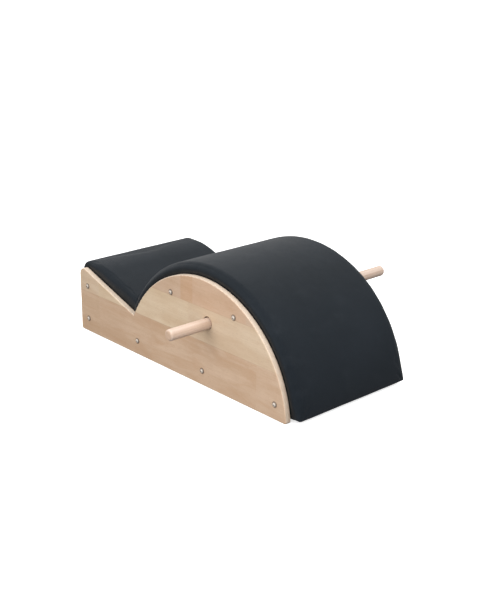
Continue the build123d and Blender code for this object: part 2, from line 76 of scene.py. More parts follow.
# the panels' slope, measured square to it from the origin
SLOPE_LEVEL = PANEL_REAR_X * sin(SLOPE) + STEP_HEIGHT * cos(SLOPE)


def slope_z(x, offset=0.0):
    """Height of a line parallel to the step's slope."""
    return STEP_HEIGHT + offset / cos(SLOPE) - tan(SLOPE) * (x - PANEL_REAR_X)


# ---------------------------------------------------------------- tones and finishes
# heights of the joints between a side panel's three boards
BOARD_JOINT_LOW = panel_high.z * 0.425
BOARD_JOINT_HIGH = panel_high.z * 0.741
BOARD_SPAN = (-0.5, 0.7)  # along X, a little past both ends of a panel
# where each glued length begins along X in the low, middle and high boards, and its tone
BOARD_LENGTHS = (
    ((-0.5, (204, 176, 149)), (-0.360, (206, 178, 152)), (-0.105, (207, 179, 153)), (0.34, (209, 182, 157))),
    ((-0.5, (213, 191, 166)), (-0.362, (217, 196, 169)), (0.067, (215, 193, 167)), (0.42, (209, 186, 160))),
    ((-0.5, (204, 177, 153)), (0.034, (203, 170, 141)), (0.082, (206, 176, 150)), (0.30, (203, 176, 152))),
)
FAR_SIDE_SHIFT = 0.173  # the far panel is cut from another stretch of the same boards
TONE_RIM = (228, 210, 191)
TONE_DOWEL = (223, 202, 187)
PLY_T = 0.0026
VINYL_DARK = (26, 32, 38)
VINYL_LIGHT = (32, 38, 45)
VINYL_ROUGH = 0.44
VINYL_SPECULAR = 0.30
VINYL_SHINE = (0.86, 0.95, 1.0, 1.0)
SEAM_REACH = 0.020  # how far the painted shade at the pads' seams fades
BOLT_SKIRT = 0.0024  # how high the painted shade reaches up a bolt head


def colour(r, g, b):
    """Linear colour from 0-255 display values."""
    return tuple(((c / 255 + 0.055) / 1.055) ** 2.4 if c > 10 else c / 3294.6 for c in (r, g, b)) + (1.0,)


# ---------------------------------------------------------------- node materials
class Graph:
    """A short way to write a node material."""

    def __init__(self, name):
        self.material = bpy.data.materials.new(name)
        self.material.use_nodes = True
        self.tree = self.material.node_tree
        self.shader = self.tree.nodes["Principled BSDF"]

    def add(self, kind, inputs=None, **settings):
        node = self.tree.nodes.new(kind)
        for key, value in settings.items():
            setattr(node, key, value)
        for key, value in (inputs or {}).items():
            self.put(node.inputs[key], value)
        return node

    def put(self, socket, value):
        if isinstance(value, bpy.types.NodeSocket):
            self.tree.links.new(value, socket)
        else:
            socket.default_value = value

    def math(self, operation, a, b=0.0, c=0.0, clamp=False):
        node = self.add("ShaderNodeMath", operation=operation, use_clamp=clamp)
        for socket, value in zip(node.inputs, (a, b, c)):
            self.put(socket, value)
        return node.outputs[0]

    def mix(self, factor, a, b, blend="MIX"):
        node = self.add("ShaderNodeMix", data_type="RGBA", blend_type=blend)
        self.put(node.inputs["Factor"], factor)
        self.put(node.inputs[6], a)
        self.put(node.inputs[7], b)
        return node.outputs[2]

    def place(self):
        """Object coordinates in metres, and their three parts."""
        coordinates = self.add("ShaderNodeTexCoord").outputs["Object"]
        parts = self.add("ShaderNodeSeparateXYZ", {0: coordinates})
        return coordinates, parts.outputs[0], parts.outputs[1], parts.outputs[2]

    def vector(self, x, y, z):
        return self.add("ShaderNodeCombineXYZ", {0: x, 1: y, 2: z}).outputs[0]

    def stretched(self, parts, factors):
        """A vector of three coordinates, each multiplied by its own factor."""
        return self.vector(*(self.math("MULTIPLY", part, factor) for part, factor in zip(parts, factors)))

    def distance(self, u, w):
        """Length of the flat vector u, w."""
        return self.math("SQRT", self.math("ADD", self.math("MULTIPLY", u, u), self.math("MULTIPLY", w, w)))

    def square_to_slope(self, x, z):
        """The part of x, z that points square to the step's slope."""
        return self.math("ADD", self.math("MULTIPLY", x, sin(SLOPE)), self.math("MULTIPLY", z, cos(SLOPE)))

    def noise(self, vector, scale, detail=3.0, roughness=0.5, distortion=0.0):
        node = self.add("ShaderNodeTexNoise", {"Vector": vector, "Scale": scale, "Detail": detail})
        self.put(node.inputs["Roughness"], roughness)
        self.put(node.inputs["Distortion"], distortion)
        return node.outputs[0]

    def ramp(self, factor, low, high, out_low=0.0, out_high=1.0):
        node = self.add("ShaderNodeMapRange", {0: factor, 1: low, 2: high, 3: out_low, 4: out_high})
        return node.outputs[0]

    def steps(self, factor, low, high, stops):
        """Flat colours along a coordinate: each stop is where a colour begins, and the colour."""
        node = self.add("ShaderNodeValToRGB", {0: self.ramp(factor, low, high)})
        node.color_ramp.interpolation = "CONSTANT"
        elements = node.color_ramp.elements
        while len(elements) < len(stops):
            elements.new(0.5)
        for element, (begin, tone) in zip(elements, stops):
            element.position = (begin - low) / (high - low)
            element.color = colour(*tone)
        return node.outputs[0]

    def tint(self, tone, r, g, b):
        """A tone with its three parts multiplied."""
        return self.mix(1.0, tone, (r, g, b, 1.0), "MULTIPLY")

    def normal_parts(self):
        """The three parts of the surface's own direction, in the object's axes."""
        geometry = self.add("ShaderNodeNewGeometry")
        turn = self.add("ShaderNodeVectorTransform", {0: geometry.outputs["Normal"]}, vector_type="NORMAL")
        turn.convert_from = "WORLD"
        turn.convert_to = "OBJECT"
        parts = self.add("ShaderNodeSeparateXYZ", {0: turn.outputs[0]})
        return parts.outputs[0], parts.outputs[1], parts.outputs[2]

    def bump(self, height, strength, distance):
        node = self.add("ShaderNodeBump", {"Height": height, "Strength": strength, "Distance": distance})
        self.put(self.shader.inputs["Normal"], node.outputs[0])


def shade_wood(graph, tone, along, across, third, contrast=1.0, fleck=1.0):
    """Grain that runs along one coordinate: broad figure, fine streaks and short dark flecks."""
    grain = (along, across, third)
    figure = graph.noise(graph.stretched(grain, (2.2, 26.0, 9.0)), 1.0, 4.0, 0.55, 0.6)
    streak = graph.noise(graph.stretched(grain, (9.0, 420.0, 260.0)), 1.0, 3.0, 0.6)
    specks = graph.noise(graph.stretched(grain, (150.0, 1500.0, 900.0)), 1.0, 1.0)
    flecks = graph.ramp(specks, 0.60, 0.72)
    cloud = graph.noise(graph.vector(*grain), 11.0, 3.0, 0.6)
    lighter = graph.tint(tone, 1.10, 1.12, 1.14)
    darker = graph.tint(tone, 0.80, 0.70, 0.60)
    darkest = graph.tint(tone, 0.52, 0.40, 0.30)
    shaded = graph.mix(graph.ramp(figure, 0.30, 0.72, 0.0, 0.75 * contrast), lighter, darker)
    shaded = graph.mix(graph.ramp(streak, 0.35, 0.75, 0.0, 0.30 * contrast), shaded, darker)
    shaded = graph.mix(graph.ramp(cloud, 0.45, 0.72, 0.0, 0.22 * contrast), shaded, darker)
    shaded = graph.mix(graph.math("MULTIPLY", flecks, 0.35 * fleck), shaded, darkest)
    height = graph.math("ADD", graph.math("MULTIPLY", streak, 0.6), graph.math("MULTIPLY", flecks, -0.8))
    return shaded, height, figure


def bolt_places():
    """Where the bolt heads stand on a side panel, as X and Z."""
    heads = []
    for vertex in nodes["left_panel_bolts"].data.vertices:
        point = vertex.co
        if point.y > panel_low.y:
            continue
        for head in heads:
            if hypot(point.x - head[0].x, point.z - head[0].z) < 3 * HEAD_R:
                head.append(point)
                break
        else:
            heads.append([point])
    spans = [([p.x for p in head], [p.z for p in head]) for head in heads]
    return [((min(xs) + max(xs)) / 2, (min(zs) + max(zs)) / 2) for xs, zs in spans]


def panel_wood():
    """Three wide boards glued edge to edge, each of shorter lengths, under satin lacquer."""
    g = Graph("panel_wood")
    m = g.math
    at, x, y, z = g.place()
    upper = m("GREATER_THAN", z, BOARD_JOINT_HIGH)
    middle = m("GREATER_THAN", z, BOARD_JOINT_LOW)
    row = m("ADD", upper, middle)
    side = m("GREATER_THAN", y, 0.0)
    place = m("ADD", x, m("MULTIPLY", side, FAR_SIDE_SHIFT))
    rows = [g.steps(place, *BOARD_SPAN, stops) for stops in BOARD_LENGTHS]
    tone = g.mix(upper, g.mix(middle, rows[0], rows[1]), rows[2])
    board = g.add("ShaderNodeSeparateColor", {0: tone}).outputs[0]
    # each glued length has grain of its own
    along = m("ADD", place, m("MULTIPLY", m("ADD", row, board), 5.3))
    across = m("ADD", z, m("MULTIPLY", row, 3.3))
    shaded, height, figure = shade_wood(g, tone, along, across, y, 0.78, 1.0)
    # soft reddish cloud along the boards, as beech has
    cloud_at = g.vector(m("MULTIPLY", along, 9.0), m("MULTIPLY", across, 34.0), y)
    blush = g.ramp(g.noise(cloud_at, 1.0, 4.0, 0.62, 0.8), 0.44, 0.72, 0.0, 0.60)
    blush = m("MULTIPLY", blush, m("SUBTRACT", 1.25, m("MULTIPLY", middle, 0.5)))
    shaded = g.mix(blush, shaded, g.tint(tone, 0.86, 0.75, 0.65))
    # glue lines between the boards
    from_low = m("ABSOLUTE", m("SUBTRACT", z, BOARD_JOINT_LOW))
    from_high = m("ABSOLUTE", m("SUBTRACT", z, BOARD_JOINT_HIGH))
    glue = g.ramp(m("MINIMUM", from_low, from_high), 0.0002, 0.0007, 1.0, 0.0)
    shaded = g.mix(m("MULTIPLY", glue, 0.22), shaded, colour(140, 106, 80))
    # the sanded rim is paler than the faces, and shows end grain where it looks along X
    nx, ny = g.normal_parts()[:2]
    rim = g.ramp(m("ABSOLUTE", ny), 0.45, 0.93, 1.0, 0.0)
    end = g.ramp(m("ABSOLUTE", nx), 0.55, 0.95, 0.0, 0.35)
    pores = g.noise(g.stretched((x, y, z), (60.0, 420.0, 60.0)), 1.0, 3.0, 0.6)
    rim_tone = g.mix(g.ramp(pores, 0.35, 0.75), colour(*TONE_RIM), colour(*(c - 16 for c in TONE_RIM)))
    rim_tone = g.mix(m("MULTIPLY", end, g.ramp(pores, 0.4, 0.6)), rim_tone, colour(196, 164, 132))
    shaded = g.mix(m("MULTIPLY", rim, 0.88), shaded, rim_tone)
    # painted shade: a dark ring round each bolt head, where the head shades the panel
    from_bolt = 1.0
    for bolt_x, bolt_z in bolt_places():
        away = g.distance(m("SUBTRACT", x, bolt_x), m("SUBTRACT", z, bolt_z))
        from_bolt = m("MINIMUM", away, from_bolt)
    painted_shade = g.ramp(from_bolt, HEAD_R + 0.0006, HEAD_R + 0.0030, 0.75, 0.0)
    shaded = g.mix(painted_shade, shaded, colour(84, 62, 50))
    # handling wear: broad, faint lighter and duller patches
    rub = g.noise(at, 6.0, 4.0, 0.65)
    shaded = g.mix(g.ramp(rub, 0.55, 0.8, 0.0, 0.12), shaded, colour(226, 208, 188))
    g.put(g.shader.inputs["Base Color"], shaded)
    worn = m("ADD", rub, m("MULTIPLY", figure, 0.4))
    g.put(g.shader.inputs["Roughness"], g.ramp(worn, 0.4, 1.0, 0.42, 0.58))
    g.shader.inputs["Specular IOR Level"].default_value = 0.40
    g.bump(m("ADD", height, m("MULTIPLY", glue, -1.2)), 0.20, 0.0004)
    return g.material


def dowel_wood():
    """A turned rod with grain along Y and rings on its ends."""
    g = Graph("dowel_wood")
    m = g.math
    at, x, y, z = g.place()
    dx = m("SUBTRACT", x, (dowel_low.x + dowel_high.x) / 2)
    dz = m("SUBTRACT", z, (dowel_low.z + dowel_high.z) / 2)
    across = m("ADD", m("MULTIPLY", dx, 5.0), 4.0)
    third = m("MULTIPLY", dz, 12.0)
    shaded, height = shade_wood(g, colour(*TONE_DOWEL), y, across, third, 1.0, 1.2)[:2]
    end = g.ramp(m("ABSOLUTE", g.normal_parts()[1]), 0.75, 0.97)
    # the rings' middle is a little off the rod's
    off = m("ADD", m("POWER", m("ADD", dx, 0.007), 2.0), m("POWER", m("ADD", dz, 0.011), 2.0))
    wander = m("MULTIPLY", g.noise(at, 90.0, 2.0), 4.0)
    ring = m("SINE", m("ADD", m("MULTIPLY", m("SQRT", off), 3300.0), wander))
    end_tone = g.mix(g.ramp(ring, -1.0, 1.0), colour(214, 186, 160), colour(184, 150, 124))
    shaded = g.mix(m("MULTIPLY", end, 0.8), shaded, end_tone)
    grip = g.noise(at, 14.0, 3.0, 0.6)
    shaded = g.mix(g.ramp(grip, 0.55, 0.8, 0.0, 0.14), shaded, colour(196, 160, 132))
    g.put(g.shader.inputs["Base Color"], shaded)
    g.put(g.shader.inputs["Roughness"], g.ramp(grip, 0.3, 0.8, 0.38, 0.55))
    g.bump(height, 0.2, 0.0003)
    return g.material


def rail_wood():
    """Planed softwood with grain along Y."""
    g = Graph("rail_wood")
    m = g.math
    at, x, y, z = g.place()
    shaded, height, figure = shade_wood(g, colour(214, 178, 130), y, x, z, 1.1, 0.5)
    end = g.ramp(m("ABSOLUTE", g.normal_parts()[1]), 0.75, 0.97)
    tilted = m("ADD", z, m("MULTIPLY", x, 0.4))
    ring = m("SINE", m("ADD", m("MULTIPLY", tilted, 2100.0), m("MULTIPLY", figure, 6.0)))
    end_tone = g.mix(g.ramp(ring, -1.0, 1.0), colour(206, 164, 112), colour(168, 120, 76))
    shaded = g.mix(m("MULTIPLY", end, 0.7), shaded, end_tone)
    knots = g.add("ShaderNodeTexVoronoi", {"Vector": at, "Scale": 7.0}, feature="F1").outputs["Distance"]
    shaded = g.mix(g.ramp(knots, 0.04, 0.13, 0.7, 0.0), shaded, colour(122, 78, 44))
    g.put(g.shader.inputs["Base Color"], shaded)
    g.put(g.shader.inputs["Roughness"], g.ramp(g.noise(at, 30.0), 0.3, 0.7, 0.55, 0.72))
    g.bump(height, 0.35, 0.0004)
    return g.material


def plywood(name, depth):
    """Birch plywood with plies on its edges.

    depth(g, x, y, z) gives the distance through the board, raised so that it is never negative, and how far
    a face is an edge, from 0 to 1.
    """
    g = Graph(name)
    m = g.math
    at, x, y, z = g.place()
    through, edge = depth(g, x, y, z)
    shaded, height = shade_wood(g, colour(222, 190, 146), y, m("ADD", x, z), through, 0.8, 0.6)[:2]
    ply = m("FRACT", m("DIVIDE", through, PLY_T))
    plies = g.mix(m("GREATER_THAN", ply, 0.5), colour(214, 180, 134), colour(150, 108, 70))
    speck = g.noise(g.stretched((x, y, z), (500.0, 500.0, 500.0)), 1.0, 2.0)
    plies = g.mix(g.ramp(speck, 0.5, 0.75, 0.0, 0.4), plies, colour(110, 76, 48))
    shaded = g.mix(edge, shaded, plies)
    g.put(g.shader.inputs["Base Color"], shaded)
    g.put(g.shader.inputs["Roughness"], g.ramp(g.noise(at, 26.0), 0.3, 0.7, 0.58, 0.74))
    g.bump(height, 0.25, 0.0003)
    return g.material


def edge_share(g, facing):
    """1 on a board's edges and 0 on its faces, from how squarely a surface faces through the board."""
    return g.ramp(g.math("ABSOLUTE", facing), 0.5, 0.9, 1.0, 0.0)


def bent_depth(g, x, y, z):
    """Depth of the barrel's bent deck, from the arc's axis."""
    m = g.math
    dx = m("SUBTRACT", x, ARC_X)
    dz = m("SUBTRACT", z, ARC_Z)
    radius = g.distance(dx, dz)
    nx, ny, nz = g.normal_parts()
    facing = m("DIVIDE", m("ADD", m("MULTIPLY", dx, nx), m("MULTIPLY", dz, nz)), radius)
    return m("SUBTRACT", radius, deck_high.z - ARC_Z - 1.0), edge_share(g, facing)


def slope_depth(g, x, y, z):
    """Depth of the step's deck, square to the slope."""
    nx, ny, nz = g.normal_parts()
    return g.math("ADD", g.square_to_slope(x, z), 1.0), edge_share(g, g.square_to_slope(nx, nz))


def upright_depth(g, x, y, z):
    """Depth of the rear board, along X."""
    return g.math("ADD", x, 1.0), edge_share(g, g.normal_parts()[0])


def steel(name, tone, roughness, metallic, skirt=0.0):
    """Zinc-plated steel with fine wear; a head gets painted shade round its skirt where it meets the panel,
    and on its steep sides.
    """
    g = Graph(name)
    m = g.math
    at, x, y, z = g.place()
    cloud = g.noise(at, 260.0, 4.0, 0.6)
    scratch = g.noise(g.stretched((x, y, z), (2600.0, 300.0, 700.0)), 1.0, 2.0)
    shaded = g.mix(g.ramp(cloud, 0.3, 0.75), colour(*tone), colour(*(c - 34 for c in tone)))
    # painted shade: darker near the panel and where the head's sides turn steep
    if skirt:
        low = g.ramp(m("ABSOLUTE", y), -panel_low.y, -panel_low.y + skirt, 1.0, 0.0)
        steep = g.ramp(m("ABSOLUTE", g.normal_parts()[1]), 0.50, 0.86, 1.0, 0.0)
        painted_shade = m("MAXIMUM", low, steep)
        shaded = g.mix(m("MULTIPLY", painted_shade, 0.85), shaded, colour(80, 66, 58))
    g.put(g.shader.inputs["Base Color"], shaded)
    worn = g.ramp(m("ADD", cloud, scratch), 0.7, 1.3, roughness, roughness + 0.18)
    g.put(g.shader.inputs["Roughness"], worn)
    g.shader.inputs["Metallic"].default_value = metallic
    g.bump(m("ADD", cloud, m("MULTIPLY", scratch, 0.4)), 0.12, 0.0001)
    return g.material


def vinyl():
    """Charcoal upholstery vinyl: pebbled grain, faint clouding, duller where it is rubbed."""
    g = Graph("vinyl")
    m = g.math
    at, x, y, z = g.place()
    # the pebbles are cells whose edges wander by up to a millimetre
    wobble = g.add("ShaderNodeTexNoise", {"Vector": at, "Scale": 420.0, "Detail": 2.0}).outputs["Color"]
    drift = g.add("ShaderNodeVectorMath", {0: wobble, "Scale": 0.0010}, operation="SCALE").outputs[0]
    bent = g.add("ShaderNodeVectorMath", {0: at, 1: drift}, operation="ADD").outputs[0]
    cells = g.add("ShaderNodeTexVoronoi", {"Vector": bent, "Scale": 620.0}, feature="DISTANCE_TO_EDGE")
    pebble = g.ramp(cells.outputs["Distance"], 0.0, 0.22)
    fine = g.noise(at, 1500.0, 3.0, 0.6)
    cloud = g.noise(at, 5.0, 4.0, 0.6)
    rub = g.noise(at, 17.0, 4.0, 0.65)
    tone = g.mix(g.ramp(cloud, 0.3, 0.7), colour(*VINYL_DARK), colour(*VINYL_LIGHT))
    # painted shade: the valleys between the pebbles, which the bump makes low, are darkened
    tone = g.mix(m("MULTIPLY", m("SUBTRACT", 1.0, pebble), 0.35), tone, colour(14, 15, 17))
    tone = g.mix(g.ramp(rub, 0.55, 0.8, 0.0, 0.18), tone, colour(60, 64, 69))
    # painted shade: the vinyl is darkened where its sides meet the wooden rims
    over_arc = m("SUBTRACT", g.distance(m("SUBTRACT", x, ARC_X), m("SUBTRACT", z, ARC_Z)), ARC_R)
    over_slope = m("SUBTRACT", g.square_to_slope(x, z), SLOPE_LEVEL)
    over_rim = m("MINIMUM", m("ABSOLUTE", over_arc), m("ABSOLUTE", over_slope))
    at_side = g.ramp(m("ABSOLUTE", y), HALF_PAD - 0.004, HALF_PAD - 0.001)
    seam_shade = m("MULTIPLY", at_side, g.ramp(over_rim, 0.002, SEAM_REACH, 1.0, 0.0))
    tone = g.mix(m("MULTIPLY", seam_shade, 0.8), tone, colour(7, 8, 9))
    g.put(g.shader.inputs["Base Color"], tone)
    rough = m("ADD", g.ramp(rub, 0.3, 0.75, VINYL_ROUGH, VINYL_ROUGH + 0.10), m("MULTIPLY", fine, 0.06))
    g.put(g.shader.inputs["Roughness"], rough)
    g.shader.inputs["Specular IOR Level"].default_value = VINYL_SPECULAR
    g.shader.inputs["Specular Tint"].default_value = VINYL_SHINE
    g.shader.inputs["Sheen Weight"].default_value = 0.08
    g.shader.inputs["Sheen Roughness"].default_value = 0.45
    g.bump(m("ADD", pebble, m("MULTIPLY", fine, 0.5)), 0.30, 0.00025)
    return g.material


materials = {
    "panel_wood": panel_wood(),
    "dowel_wood": dowel_wood(),
    "rail_wood": rail_wood(),
    "vinyl": vinyl(),
    "bolt_steel": steel("bolt_steel", (254, 243, 230), 0.30, 0.32, BOLT_SKIRT),
    "fitting_steel": steel("fitting_steel", (196, 192, 180), 0.34, 1.0),
    "bent_ply": plywood("bent_ply", bent_depth),
    "slope_ply": plywood("slope_ply", slope_depth),
    "upright_ply": plywood("upright_ply", upright_depth),
}
nodes_of = {
    "panel_wood": ("side_panel_left", "side_panel_right"),
    "dowel_wood": ("dowel",),
    "rail_wood": (
        "left_locating_pins", "right_locating_pins", "step_cleat_left", "step_cleat_right",
        "base_rail_front", "base_rail_middle", "base_rail_rear", "arch_rail_front", "arch_rail_rear",
    ),
    "bolt_steel": ("left_panel_bolts", "right_panel_bolts"),
    "bent_ply": ("barrel_deck",),
    "slope_ply": ("step_deck",),
    "upright_ply": ("rear_board",),
}
finish_of = {name: finish for finish, names in nodes_of.items() for name in names}
for name, node in nodes.items():
    node.data.materials.clear()
    node.data.materials.append(materials[finish_of.get(name, "fitting_steel")])


# ---------------------------------------------------------------- upholstered pads
GRID = 0.0067  # the lattice's step along and across a pad, and the finer step near its edges
FINE_GRID = 0.003
END_BAND = 0.024  # how wide the finer stretch is at the ends, and at the sides
SIDE_BAND = 0.030
NEAR = 0.0004  # grid values closer than this to an exact one give way to it
LEVELS = (-0.5, 0.0, 0.12, 0.24, 0.36, 0.46, 0.55, 0.63, 0.71, 0.79, 0.86, 0.93, 1.0)
ROLL_POWER = 2.15  # 2 makes the rolled edges round, more makes them squarer
UPRIGHT_POWER = 14.0  # the same for the upright corners at the deck, which soften to 2 at SOFT_LEVEL
SOFT_LEVEL = 0.55
SIDE_SWELL = 0.0040  # how far the sides swell above the panels' rims, on edges of at least FULL_ROLL
RIM_CLEAR = 0.010
FULL_ROLL = 0.018
PRESSURE = 4.0
CLOTH_FRAMES = 20
HELD_BELOW = 0.32  # the cloth is free from this level up, and fully held this much lower
HELD_FADE = 0.16
SINK_CAP = 0.0002
# how far the cloth may lift each pad, and how far below its final height an outer face starts
BARREL_RISE = 0.0010
STEP_RISE = 0.0015
START_LOW = 0.0003
TUCK_REACH = 0.075  # how far the tucks at a corner reach, how fast they fade and how deep they are
TUCK_FADE = 0.034
TUCK_DEPTH = 0.0005
STAPLE_PULL = 0.00045
HEM_V = 0.05  # edges below this level keep their fold
# the photograph shows both pads a little fuller than the CAD has them
HEM_DROP = 0.004
CROWN_LIFT = 0.0028
SLOPE_LIFT = 0.0015
BACK_LIFT = 0.0025
FOAM_END_Z = 0.094  # the barrel's pad ends at this height, down in the notch
MEET_R = PAD_R + 0.0005  # the step's pad ends this far from the barrel's axis
NOTCH_ROLL = 0.018  # the roll that the step's pad follows there, over its last stretch of this length
NOTCH_REACH = 0.035
LINE_POINTS = 400  # points along the barrel's lines in the side view, and along the step's
STEP_LINE_POINTS = 420
MARCH = 0.0002  # lines along the slope look for the barrel's pad in these steps
DECK_MARCH_X = -0.25  # and the deck's lines start looking here


def graded(low, high, margin):
    """Values from low to high, closer together near both ends."""
    ends = np.linspace(0.0, margin, int(round(margin / FINE_GRID)) + 1)
    count = max(2, int(round((high - low - 2 * margin) / GRID)))
    middle = np.linspace(low + margin, high - margin, count + 1)
    return np.unique(np.round(np.concatenate([low + ends, middle, high - ends]), 7))


def with_values(values, extra):
    """A grid with some exact values added, and the near duplicates of those removed."""
    kept = [v for v in values if min(abs(v - e) for e in extra) > NEAR]
    return np.unique(np.round(np.concatenate([kept, extra]), 7))


class Pad:
    """A foam pad on a deck with its vinyl wrapped round both and stapled under the deck.

    The lattice has three coordinates: a along the outer line, y across, and v through the pad: 1 is the
    outer face, 0 the deck's outer face and -1 the vinyl under the deck. The slot is the room that the deck
    takes up, and the window is where the vinyl under the deck is cut away inside its hem. An open end has
    neither vinyl nor hem.
    """

    def __init__(self, name, outer, inner, under, open_end, start_r, end_r, side_r, rise, seed):
        """start_r and end_r roll the ends' edges. side_r is runs along the pad and the sides' rolls there."""
        self.name = name
        self.rise = rise
        self.seed = seed
        self.outer, self.inner, self.under = outer, inner, under
        self.start_r, self.end_r, self.side_r = start_r, end_r, side_r
        runs = np.hypot(*np.diff(outer, axis=0).T)
        self.at = np.concatenate([[0.0], np.cumsum(runs)])
        self.length = self.at[-1]
        low_v = -DECK_T / (DECK_T + SKIN_T)
        hem_y = HALF_PAD - STAPLE_MARGIN
        far_hem = self.length - EDGE_MARGIN
        far_skin = self.length - SKIN_T
        beyond = self.length + 1.0
        a = graded(0.0, self.length, END_BAND)
        a = with_values(a, [0.0, SKIN_T, EDGE_MARGIN, far_hem, far_skin, self.length])
        y = graded(-HALF_PAD, HALF_PAD, SIDE_BAND)
        y = with_values(y, [-HALF_PAD, -HALF_PAD + SKIN_T, -hem_y, hem_y, HALF_PAD - SKIN_T, HALF_PAD])
        v = np.array([-1.0, low_v, *LEVELS])
        A, Y, V = np.meshgrid(*((g[1:] + g[:-1]) / 2 for g in (a, y, v)), indexing="ij")
        slot_end = beyond if open_end else far_skin
        slot = (A > SKIN_T) & (A < slot_end) & (abs(Y) < HALF_PAD - SKIN_T) & (V > low_v) & (V < 0.0)
        hem_end = beyond if open_end else far_hem
        window = (A > EDGE_MARGIN) & (A < hem_end) & (abs(Y) < hem_y) & (V < low_v)
        self.grid = (a, y, v)
        self.solid = ~(slot | window)
        self.build()

    def build(self):
        """Faces between the lattice's full and empty cells, and their points."""
        a, y, v = self.grid
        solid = np.pad(self.solid, 1)
        shape = (len(a), len(y), len(v))
        quads = []
        for axis in range(3):
            u, w = [(1, 2), (2, 0), (0, 1)][axis]
            for step in (1, -1):
                here = solid[1:-1, 1:-1, 1:-1]
                there = np.roll(solid, -step, axis)[1:-1, 1:-1, 1:-1]
                base = np.argwhere(here & ~there)
                if step == 1:
                    base[:, axis] += 1
                corners = []
                for du, dw in ((0, 0), (1, 0), (1, 1), (0, 1)):
                    corner = base.copy()
                    corner[:, u] += du
                    corner[:, w] += dw
                    corners.append(np.ravel_multi_index(corner.T, shape))
                quad = np.stack(corners, axis=1)
                quads.append(quad if step == 1 else quad[:, ::-1])
        used, flat = np.unique(np.concatenate(quads), return_inverse=True)
        self.faces = flat.reshape(-1, 4)
        ia, iy, iv = np.unravel_index(used, shape)
        self.a, self.y, self.v = a[ia], y[iy], v[iv]
        on_top = iv == shape[2] - 1
        on_side = (iy == 0) | (iy == shape[1] - 1)
        on_end = (ia == 0) | (ia == shape[0] - 1)
        self.on_skin = on_top | on_side | on_end
        self.points = self.place()
        corner = self.points[self.faces]
        volume = np.einsum("ij,ij->i", corner[:, 0], np.cross(corner[:, 1], corner[:, 2])).sum()
        if volume < 0:
            self.faces = self.faces[:, ::-1]

    def line(self, a, v):
        """Points of the side view at a along the outer line and v through the pad, and the foam's depth."""
        rows = (self.outer, self.inner, self.under)
        o, i, u = (np.stack([np.interp(a, self.at, row[:, k]) for k in (0, 1)], axis=1) for row in rows)
        up = np.clip(v, 0, None)[:, None]
        down = np.clip(-v, 0, None)[:, None]
        return i + (o - i) * up + (u - i) * down, np.hypot(*(o - i).T)

    def place(self):
        """Lattice to metres: rolled upper edges, upright corners that soften upwards and sides that swell."""
        a, y, v = self.a, self.y, self.v
        thick = self.line(a, v)[1]
        first = a < self.length / 2
        end_r = np.where(first, self.start_r, self.end_r)
        side_r = np.interp(a, *self.side_r)
        from_end = np.minimum(a, self.length - a)
        da = np.clip((end_r - from_end) / end_r, 0, 1)
        dy = np.clip((side_r - (HALF_PAD - abs(y))) / side_r, 0, 1)
        top_r = np.where(da > dy, end_r, side_r)
        dh = np.clip((top_r - (1 - v) * thick) / top_r, 0, 1)
        power = np.interp(v, [0.0, SOFT_LEVEL], [UPRIGHT_POWER, 2.0])
        flat = (da**power + dy**power) ** (1 / power)
        size = np.maximum(1.0, (flat**ROLL_POWER + dh**ROLL_POWER) ** (1 / ROLL_POWER))
        size = np.where(self.on_skin, size, 1.0)
        above_rim = np.clip((v * thick - RIM_CLEAR) / (thick - RIM_CLEAR), 0, 1)
        swollen = SIDE_SWELL * np.sin(pi * above_rim**0.8)
        swollen = np.where(self.on_skin, swollen * dy * np.clip(side_r / FULL_ROLL, 0, 1) ** 3, 0.0)
        new_y = np.sign(y) * (np.where(dy > 0, HALF_PAD - side_r + side_r * dy / size, abs(y)) + swollen)
        new_end = np.where(da > 0, end_r - end_r * da / size, from_end)
        new_a = np.where(first, new_end, self.length - new_end)
        new_v = np.where(dh > 0, 1 - (top_r - top_r * dh / size) / thick, v)
        xz = self.line(new_a, new_v)[0]
        return np.stack([xz[:, 0], new_y, xz[:, 1]], axis=1)


def mesh_object(name, points, faces):
    """A new object in the scene, with a mesh of these points and faces."""
    mesh = bpy.data.meshes.new(name)
    mesh.from_pydata([tuple(p) for p in points], [], [tuple(int(i) for i in f) for f in faces])
    mesh.update()
    made = bpy.data.objects.new(name, mesh)
    bpy.context.scene.collection.objects.link(made)
    return made


def vertex_normals(points, faces):
    """The surface's direction at each point of a mesh of quads, weighted by the quads' sizes."""
    quads = points[faces]
    normal = np.cross(quads[:, 2] - quads[:, 0], quads[:, 3] - quads[:, 1])
    out = np.zeros_like(points)
    for k in range(4):
        np.add.at(out, faces[:, k], normal)
    return out / np.maximum(np.linalg.norm(out, axis=1), 1e-12)[:, None]


